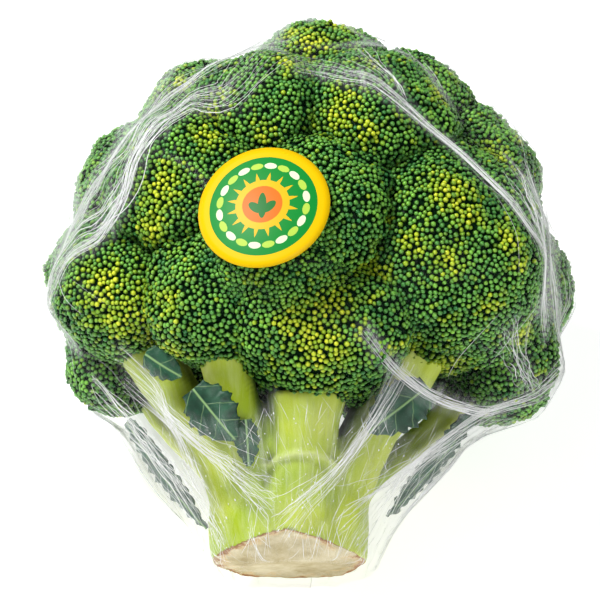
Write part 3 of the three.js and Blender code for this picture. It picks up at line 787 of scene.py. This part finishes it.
# Each bundle: its width in millimetres at start, middle and end, its strands, and its route as
# degrees round the stalk from the front and degrees down from the crown.
BUNDLES = [
    (14, 6, 9, 39, [
        (-8, 30), (-19, 43), (-30, 45), (-38, 54), (-45, 64),
        (-50, 69), (-60, 74), (-67, 79), (-72, 86),
    ]),
    (5, 9, 5, 21, [(-30, 45), (-40, 54), (-43, 60), (-52, 65), (-64, 67), (-72, 74), (-73, 84)]),
    (16, 18, 8, 45, [
        (-2, 21), (-24, 30), (-42, 38), (-46, 50),
        (-56, 56), (-68, 60), (-78, 68), (-76, 80),
    ]),
    (6, 3, 5, 33, [
        (0, 36), (9, 38), (16, 42), (29, 48), (42, 56),
        (50, 67), (56, 74), (66, 80), (76, 86),
    ]),
    (14, 9, 3, 30, [(56, 58), (57, 66), (60, 73), (66, 80), (78, 88)]),
    (16, 12, 5, 27, [(68, 54), (73, 62), (78, 70), (84, 78), (88, 86)]),
    (10, 8, 4, 18, [(92, 71), (94, 80), (88, 92), (86, 100)]),
    (14, 8, 3, 21, [(57, 90), (76, 97), (86, 100)]),
    (4, 4, 6, 39, [
        (19, 98), (26, 104), (37, 110), (48, 113),
        (67, 112), (81, 108), (88, 98), (96, 86),
    ]),
    (6, 5, 3, 12, [(19, 32), (22, 38), (26, 43), (29, 47)]),
    (8, 8, 16, 51, [(-62, 104), (-51, 117), (-43, 126), (-36, 135), (-26, 143), (-10, 149)]),
    (12, 8, 8, 36, [(-56, 97), (-49, 112), (-49, 126), (-52, 138), (-51, 150)]),
    (26, 18, 10, 39, [(-80, 100), (-70, 116), (-65, 130), (-60, 146), (-56, 157)]),
    (7, 6, 9, 45, [(34, 105), (31, 121), (27, 131), (20, 141), (4, 150), (-12, 155)]),
    (8, 8, 20, 45, [(87, 101), (74, 115), (61, 131), (48, 144), (25, 155)]),
    (10, 10, 12, 30, [(88, 105), (76, 120), (61, 135), (57, 150), (46, 159)]),
    (24, 16, 10, 36, [(92, 106), (92, 120), (86, 136), (86, 150), (80, 159)]),
    (16, 8, 14, 33, [(150, 30), (135, 48), (120, 66), (112, 88), (106, 112), (100, 140)]),
    (14, 7, 12, 33, [(-160, 34), (-140, 52), (-122, 68), (-110, 90), (-100, 116), (-92, 146)]),
    (12, 8, 14, 33, [(176, 40), (168, 66), (172, 92), (176, 120), (178, 150)]),
    (10, 6, 10, 24, [(100, 40), (130, 58), (158, 74), (-172, 86), (-146, 100), (-124, 118)]),
    (10, 7, 10, 24, [(-96, 44), (-124, 62), (-150, 82), (178, 98), (150, 112), (126, 128)]),
]
# Loose hairs and specks: how many, over which degrees round and down, how long, and how thick.
HAIRS = [
    (100, (48, 312), (18, 100), 22, (0.03, 0.05, 0.07)),
    (300, (-95, 95), (120, 160), 11, (0.03, 0.05, 0.08)),
    (150, (95, 265), (105, 160), 14, (0.03, 0.05, 0.08)),
    (170, (-80, 80), (124, 158), 0.9, (0.09, 0.14, 0.2)),
]
rng = np.random.default_rng(77)


def route_point(route, share):
    """A direction along a route, on a smooth curve through its points."""
    ways = [film_way(*stop) for stop in route]
    place = share * (len(ways) - 1)
    i = min(int(place), len(ways) - 2)
    t = place - i
    p0, p1, p2, p3 = (ways[max(0, min(len(ways) - 1, i + k))] for k in (-1, 0, 1, 2))
    square, cube = 2 * p0 - 5 * p1 + 4 * p2 - p3, 3 * p1 - p0 - 3 * p2 + p3
    way = 0.5 * (2 * p1 + (p2 - p0) * t + square * t**2 + cube * t**3)
    return way.normalized()


strand_curve = bpy.data.curves.new("film_strands_line", "CURVE")
strand_curve.dimensions = "3D"
strand_curve.bevel_depth = 1.0 * MM
strand_curve.bevel_resolution = 0
strand_curve.use_fill_caps = True
strand_spots = []


def lay_strand(ways, thick):
    """One strand on the film through these directions, thinning to both ends."""
    spots = [film_spot(way.normalized(), 0.5 * thick * MM) for way in ways]
    line = strand_curve.splines.new("POLY")
    line.points.add(len(spots) - 1)
    for i, spot in enumerate(spots):
        line.points[i].co = (*spot, 1)
        thinning = max(0.15, math.sin(math.pi * (i + 0.3) / (len(spots) - 0.4)))
        line.points[i].radius = thick * thinning**0.6
        strand_spots.append(spot)


for start_width, middle_width, end_width, count, route in BUNDLES:
    for _ in range(count):
        first, last = rng.uniform(-0.3, 0.3), rng.uniform(0.7, 1.3)
        first, last = max(0, first), min(1, last)
        if rng.random() < 0.5:
            first = rng.uniform(0, 0.85)
            last = min(1, first + rng.uniform(0.15, 0.5))
        lane, drift, phase = rng.normal(0, 0.32), rng.normal(0, 0.5), rng.uniform(0, 100)
        ways = []
        steps = max(7, int((last - first) * 5 * len(route)))
        for k in range(steps + 1):
            share = first + (last - first) * k / steps
            way = route_point(route, share)
            ahead = route_point(route, min(1, share + 0.02))
            ahead = ahead - route_point(route, max(0, share - 0.02))
            beside = way.cross(ahead).normalized()
            wide = (
                start_width * 2 * (share - 0.5) * (share - 1)
                + middle_width * 4 * share * (1 - share)
                + end_width * 2 * share * (share - 0.5)
            )
            waver = 0.16 * noise.noise(Vector((share * 8, phase, 0)))
            waver += 0.06 * noise.noise(Vector((share * 26, phase, 5)))
            offset = (lane + drift * (share - 0.5) + waver) * wide
            ways.append(way + beside * offset * MM / FILM_RADIUS)
        lay_strand(ways, float(rng.choice(STRAND_SIZES, p=STRAND_ODDS)))
for count, turns, falls, reach, thicknesses in HAIRS:
    for _ in range(count):
        azimuth, polar = rng.uniform(*turns), rng.uniform(*falls)
        start = film_way(azimuth, polar)
        down = film_way(azimuth, polar + 2) - film_way(azimuth, polar - 2)
        beside = start.cross(down)
        heading = (down.normalized() + beside.normalized() * rng.normal(0, 0.6)).normalized()
        bend = beside.normalized() * rng.normal(0, 0.1)
        long = rng.uniform(0.4, 1.2) * reach * MM / FILM_RADIUS
        runs = [long * share for share in np.linspace(-0.5, 0.5, 9)]
        ways = [start + heading * run + bend * run**2 for run in runs]
        lay_strand(ways, float(rng.choice(thicknesses)))
holder = bpy.data.objects.new("film_strands_holder", strand_curve)
bpy.context.scene.collection.objects.link(holder)
graph = bpy.context.evaluated_depsgraph_get()
strand_mesh = bpy.data.meshes.new_from_object(holder.evaluated_get(graph))
bpy.data.objects.remove(holder)

strand_near = KDTree(len(strand_spots))
for i, spot in enumerate(strand_spots):
    strand_near.insert(spot, i)
strand_near.balance()
haze = film_mesh.attributes.new("haze", "FLOAT", "POINT")
strands_near = [len(strand_near.find_range(vert.co, HAZE_REACH)) for vert in film_mesh.vertices]
haze.data.foreach_set("value", [min(1.0, count / HAZE_FULL) for count in strands_near])

# Stretch film is clear polyethylene: almost nothing shows but its gloss and a white haze where it
# is overstretched. Where it is seen edge on it has a milky rim, a painted sheen standing in for its
# reflection, which turns to a painted grey shade line at the very edge.
film_material, tree, shader = start_material("stretch_film")
pull_place = add_node(tree, "ShaderNodeAttribute", attribute_name="pull").outputs["Vector"]
pull_squash = add_node(
    tree, "ShaderNodeMapping", {"Vector": pull_place, "Scale": (1, 1, 0.05)}
).outputs["Vector"]
streaks = add_node(
    tree,
    "ShaderNodeTexNoise",
    {"Vector": pull_squash, "Scale": 0.8, "Detail": 5, "Roughness": 0.7, "Distortion": 0.4},
).outputs["Fac"]
streak_share = add_node(
    tree, "ShaderNodeMapRange", {"Value": streaks, "From Min": 0.52, "From Max": 0.72}
).outputs["Result"]
hazy = add_node(tree, "ShaderNodeAttribute", attribute_name="haze").outputs["Fac"]
# Painted sheen: where the film is seen edge on, it is painted milky white.
facing = add_node(tree, "ShaderNodeLayerWeight", {"Blend": 0.5}).outputs["Facing"]
painted_rim_sheen = add_node(
    tree,
    "ShaderNodeMapRange",
    {"Value": facing, "From Min": 0.74, "From Max": 1.0, "To Min": 0.0, "To Max": 0.6},
).outputs["Result"]
hazy_streak = add_node(
    tree, "ShaderNodeMath", {0: streak_share, 1: 0.3, 2: 0.06}, operation="MULTIPLY_ADD"
).outputs[0]
hazy_part = add_node(
    tree, "ShaderNodeMath", {0: hazy, 1: hazy_streak}, operation="MULTIPLY"
).outputs[0]
fall = add_node(tree, "ShaderNodeSeparateXYZ", {"Vector": pull_place}).outputs["Z"]
rim_part = add_node(
    tree,
    "ShaderNodeMapRange",
    {"Value": fall, "From Min": 142, "From Max": 150, "To Min": 1.0, "To Max": 0.0},
).outputs["Result"]
haze_and_edge_sheen = add_node(
    tree,
    "ShaderNodeMath",
    {0: painted_rim_sheen, 1: rim_part, 2: hazy_part},
    operation="MULTIPLY_ADD",
    use_clamp=True,
).outputs[0]
film_bump = add_node(
    tree, "ShaderNodeBump", {"Strength": 0.5, "Distance": 0.5 * MM, "Height": streaks}
).outputs["Normal"]
clear = add_node(tree, "ShaderNodeBsdfTransparent").outputs[0]
gloss = add_node(
    tree, "ShaderNodeBsdfGlossy", {"Color": (1, 1, 1, 1), "Roughness": 0.16, "Normal": film_bump}
).outputs[0]
fresnel = add_node(tree, "ShaderNodeFresnel", {"IOR": 1.3, "Normal": film_bump}).outputs[0]
gloss_share = add_node(
    tree, "ShaderNodeMath", {0: fresnel, 1: 0.1}, operation="MULTIPLY"
).outputs[0]
clear_film = add_node(tree, "ShaderNodeMixShader", {0: gloss_share, 1: clear, 2: gloss}).outputs[0]
# Painted shade: at the most edge-on part, the milky colour turns grey.
painted_rim_shade = add_node(
    tree, "ShaderNodeMapRange", {"Value": facing, "From Min": 0.78, "From Max": 0.95}
).outputs["Result"]
haze_and_edge_shade = add_node(
    tree,
    "ShaderNodeMix",
    {0: painted_rim_shade, 6: linear("#F2F4F4"), 7: linear("#9CA4A4")},
    data_type="RGBA",
).outputs[2]
tree.links.new(haze_and_edge_shade, shader.inputs["Base Color"])
shader.inputs["Roughness"].default_value = 0.35
film_shader = add_node(
    tree, "ShaderNodeMixShader", {0: haze_and_edge_sheen, 1: clear_film, 2: shader.outputs[0]}
).outputs[0]
tree.links.new(film_shader, tree.nodes["Material Output"].inputs["Surface"])
film = finish_piece("film_sheet", film_mesh, film_material, "film_wrap")

# The film's inner face adds no gloss or haze of its own.
inner_material, tree, shader = start_material("stretch_film_inside")
clear = add_node(tree, "ShaderNodeBsdfTransparent").outputs[0]
tree.links.new(clear, tree.nodes["Material Output"].inputs["Surface"])
film_mesh.materials.append(inner_material)
body = film.modifiers.new("body", "SOLIDIFY")
body.thickness = FILM_THICKNESS
body.offset = -1
body.material_offset = 1

strand_material, tree, shader = start_material("stretch_film_strands")
shader.inputs["Base Color"].default_value = linear("#FBFCFC")
shader.inputs["Roughness"].default_value = 0.3
shader.inputs["Alpha"].default_value = 0.8
strands = finish_piece("film_strands", strand_mesh, strand_material)

# Label
# A round sticker of gloss paper, 42 mm across, pressed on the film so that it bends with the head.
LABEL_RADIUS = 21
LABEL_THICKNESS = 0.3
LABEL_GAP = 0.1
LABEL_PROBES, LABEL_TURNS, LABEL_ABOVE = (0, 7, 14, 20), 24, 200
LABEL_SHIFT = (-2.0, 2.4)
LABEL_FROM = Vector((6, 0, 91.5))
LABEL_AZIMUTH, LABEL_RISE = math.radians(-9), math.radians(3)

label_axis = Vector(
    (
        math.sin(LABEL_AZIMUTH) * math.cos(LABEL_RISE),
        -math.cos(LABEL_AZIMUTH) * math.cos(LABEL_RISE),
        math.sin(LABEL_RISE),
    )
)
label_right = Vector((0, 0, 1)).cross(label_axis).normalized()
label_up = label_axis.cross(label_right)


def label_terms(x, y):
    """The terms of a surface that bends evenly both ways."""
    return 1, x, y, x * x, x * y, y * y


film_rows, film_heights = [], []
for far in LABEL_PROBES:
    for turn in np.linspace(0, 2 * math.pi, LABEL_TURNS, endpoint=False):
        x, y = LABEL_SHIFT[0] + far * math.cos(turn), LABEL_SHIFT[1] + far * math.sin(turn)
        above = LABEL_FROM + label_right * x + label_up * y + label_axis * LABEL_ABOVE
        spot = film_tree.ray_cast(LIE @ (above * MM), LIE_TURN @ -label_axis)[0]
        film_rows.append(label_terms(x, y))
        film_heights.append(((TO_PLANT @ spot) / MM - LABEL_FROM).dot(label_axis))
film_rows, film_heights = np.array(film_rows), np.array(film_heights)
label_bend = np.linalg.lstsq(film_rows, film_heights, rcond=None)[0]
label_lift = (film_heights - film_rows @ label_bend).max() + LABEL_THICKNESS + LABEL_GAP


def on_label(x, y, lift):
    """A place on the label as the film bends it, by millimetres right and up from its middle."""
    x, y = x + LABEL_SHIFT[0], y + LABEL_SHIFT[1]
    height = float(np.dot(label_bend, label_terms(x, y))) + label_lift + lift
    return LIE @ ((LABEL_FROM + label_right * x + label_up * y + label_axis * height) * MM)


# The print: a yellow border, a green field, a ring of leaves, and a sun with rays behind a sprig.
LABEL_FIELD, SUN_EDGE, SUN_FACE, RAY_TIP = 17.2, 8.6, 6.4, 11.4
RING_RADIUS, RING_LEAVES, SUN_RAYS = 13.9, 20, 16
SPRIG = (((0, -0.4), 90, 4.4), ((-2.2, -1.0), 138, 2.6), ((2.2, -1.0), 42, 2.6))

label_material, tree, shader = start_material("gloss_label_print")
print_place = add_node(tree, "ShaderNodeAttribute", attribute_name="print").outputs["Vector"]
print_parts = add_node(tree, "ShaderNodeSeparateXYZ", {"Vector": print_place})
far = add_node(tree, "ShaderNodeVectorMath", {0: print_place}, operation="LENGTH").outputs["Value"]
turn = add_node(
    tree,
    "ShaderNodeMath",
    {0: print_parts.outputs["Y"], 1: print_parts.outputs["X"]},
    operation="ARCTAN2",
).outputs[0]
beside = {}
for motif, count in (("leaf", RING_LEAVES), ("ray", SUN_RAYS)):
    steps = add_node(
        tree,
        "ShaderNodeMath",
        {0: turn, 1: count / 2 / math.pi, 2: count},
        operation="MULTIPLY_ADD",
    ).outputs[0]
    part = add_node(tree, "ShaderNodeMath", {0: steps}, operation="FRACT").outputs[0]
    beside[motif] = add_node(
        tree, "ShaderNodeMath", {0: part, 1: 0.5}, operation="SUBTRACT"
    ).outputs[0]
    if motif == "leaf":
        pair = add_node(tree, "ShaderNodeMath", {0: steps, 1: 2}, operation="MODULO").outputs[0]
        second = add_node(tree, "ShaderNodeMath", {0: pair, 1: 1}, operation="LESS_THAN").outputs[0]
leaf_long = add_node(
    tree, "ShaderNodeMath", {0: beside["leaf"], 1: 2.2}, operation="MULTIPLY"
).outputs[0]
leaf_off = add_node(
    tree, "ShaderNodeMath", {0: far, 1: RING_RADIUS}, operation="SUBTRACT"
).outputs[0]
leaf_wide = add_node(tree, "ShaderNodeMath", {0: leaf_off, 1: 1.1}, operation="DIVIDE").outputs[0]
leaf_shape = add_node(tree, "ShaderNodeCombineXYZ", {"X": leaf_long, "Y": leaf_wide}).outputs[0]
leaf_edge = add_node(
    tree, "ShaderNodeVectorMath", {0: leaf_shape}, operation="LENGTH"
).outputs["Value"]
ray_off = add_node(tree, "ShaderNodeMath", {0: beside["ray"]}, operation="ABSOLUTE").outputs[0]
ray_edge = add_node(
    tree,
    "ShaderNodeMapRange",
    {"Value": far, "From Min": SUN_EDGE, "From Max": RAY_TIP, "To Min": 0.2, "To Max": 0},
).outputs["Result"]
leaf_ink = add_node(
    tree, "ShaderNodeMix", {0: second, 6: linear("#B0D04E"), 7: linear("#DEE8C4")}, data_type="RGBA"
).outputs[2]
layers = [
    (far, LABEL_FIELD, linear("#0B8630")),
    (leaf_edge, 1.0, leaf_ink),
    (ray_off, ray_edge, linear("#E4B40E")),
    (far, SUN_EDGE, linear("#E4B40E")),
    (far, SUN_FACE, linear("#DC6E10")),
]
for (x, y), lean, half in SPRIG:
    blade_place = add_node(
        tree,
        "ShaderNodeMapping",
        {
            "Vector": print_place,
            "Location": (x, y, 0),
            "Rotation": (0, 0, math.radians(lean)),
            "Scale": (half, 1.4, 1),
        },
        vector_type="TEXTURE",
    ).outputs["Vector"]
    blade_edge = add_node(
        tree, "ShaderNodeVectorMath", {0: blade_place}, operation="LENGTH"
    ).outputs["Value"]
    layers.append((blade_edge, 1.0, linear("#136F26")))
printed = linear("#E8BC00")
for value, edge, colour in layers:
    within = add_node(tree, "ShaderNodeMath", {0: value, 1: edge}, operation="LESS_THAN").outputs[0]
    printed = add_node(
        tree, "ShaderNodeMix", {0: within, 6: printed, 7: colour}, data_type="RGBA"
    ).outputs[2]
tree.links.new(printed, shader.inputs["Base Color"])
where = add_node(tree, "ShaderNodeTexCoord").outputs["Object"]
press = add_node(
    tree, "ShaderNodeTexNoise", {"Vector": where, "Scale": 1 / (7 * MM), "Detail": 3}
).outputs["Fac"]
label_bump = add_node(
    tree, "ShaderNodeBump", {"Strength": 0.15, "Distance": 0.3 * MM, "Height": press}
).outputs["Normal"]
tree.links.new(label_bump, shader.inputs["Normal"])
shader.inputs["Roughness"].default_value = 0.4
shader.inputs["IOR"].default_value = 1.5
shader.inputs["Specular IOR Level"].default_value = 0.12

bm = bmesh.new()
bmesh.ops.create_cone(
    bm,
    cap_ends=True,
    segments=96,
    radius1=LABEL_RADIUS,
    radius2=LABEL_RADIUS,
    depth=LABEL_THICKNESS,
)
for cap in [face for face in bm.faces if len(face.verts) > 4]:
    for _ in range(9):
        bmesh.ops.inset_region(bm, faces=[cap], thickness=LABEL_RADIUS / 10)
    bmesh.ops.poke(bm, faces=[cap])
place = bm.verts.layers.float_vector.new("print")
for vert in bm.verts:
    vert[place] = (vert.co.x, vert.co.y, 0)
    vert.co = on_label(vert.co.x, vert.co.y, vert.co.z - LABEL_THICKNESS / 2)
bmesh.ops.recalc_face_normals(bm, faces=bm.faces)
label_mesh = bpy.data.meshes.new("label_print")
bm.to_mesh(label_mesh)
bm.free()
finish_piece("label_print", label_mesh, label_material, "label")

# Floor, light and camera
# A plain white table under broad soft light, seen from in front and above.
FLOOR_SIZE, FLOOR_DROP = 4, 0.2 * MM
VIEW_RISE = math.radians(46)
VIEW_DISTANCE = 0.75
VIEW_FIELD = 0.203
VIEW_TARGET = Vector((-0.003, -0.0057, 0.0722))

bm = bmesh.new()
bmesh.ops.create_grid(bm, x_segments=2, y_segments=2, size=FLOOR_SIZE / 2)
bmesh.ops.translate(bm, verts=bm.verts, vec=(0, 0, -FLOOR_DROP))
floor_mesh = bpy.data.meshes.new("table_top")
bm.to_mesh(floor_mesh)
bm.free()
floor_material, tree, shader = start_material("white_table")
shader.inputs["Base Color"].default_value = linear("#F7F7F7")
shader.inputs["Roughness"].default_value = 0.9
shader.inputs["Emission Color"].default_value = linear("#FFFFFF")
shader.inputs["Emission Strength"].default_value = 0.65
floor_mesh.materials.append(floor_material)
floor = bpy.data.objects.new("table_top", floor_mesh)
bpy.context.scene.collection.objects.link(floor)

world = bpy.data.worlds.new("studio")
bpy.context.scene.world = world
world.use_nodes = True
world.node_tree.nodes["Background"].inputs["Color"].default_value = (1, 1, 1, 1)
world.node_tree.nodes["Background"].inputs["Strength"].default_value = 0.2

LIGHTS = {"key": ((-0.55, 0.15, 1.05), 0.25, 14.5), "fill": ((0.4, -0.9, 0.75), 0.6, 5)}
for name, (spot, size, watts) in LIGHTS.items():
    lamp = bpy.data.lights.new(name, "AREA")
    lamp.energy = watts
    lamp.size = size
    holder = bpy.data.objects.new(name, lamp)
    holder.location = spot
    holder.rotation_euler = (VIEW_TARGET - Vector(spot)).to_track_quat("-Z", "Y").to_euler()
    bpy.context.scene.collection.objects.link(holder)

camera = bpy.data.cameras.new("view")
camera.sensor_width = 36
camera.lens = camera.sensor_width * VIEW_DISTANCE / VIEW_FIELD
view = bpy.data.objects.new("view", camera)
view.location = VIEW_TARGET + VIEW_DISTANCE * Vector((0, -math.cos(VIEW_RISE), math.sin(VIEW_RISE)))
view.rotation_euler = (math.pi / 2 - VIEW_RISE, 0, 0)
bpy.context.scene.collection.objects.link(view)
bpy.context.scene.camera = view
bpy.context.scene.view_settings.view_transform = "Standard"
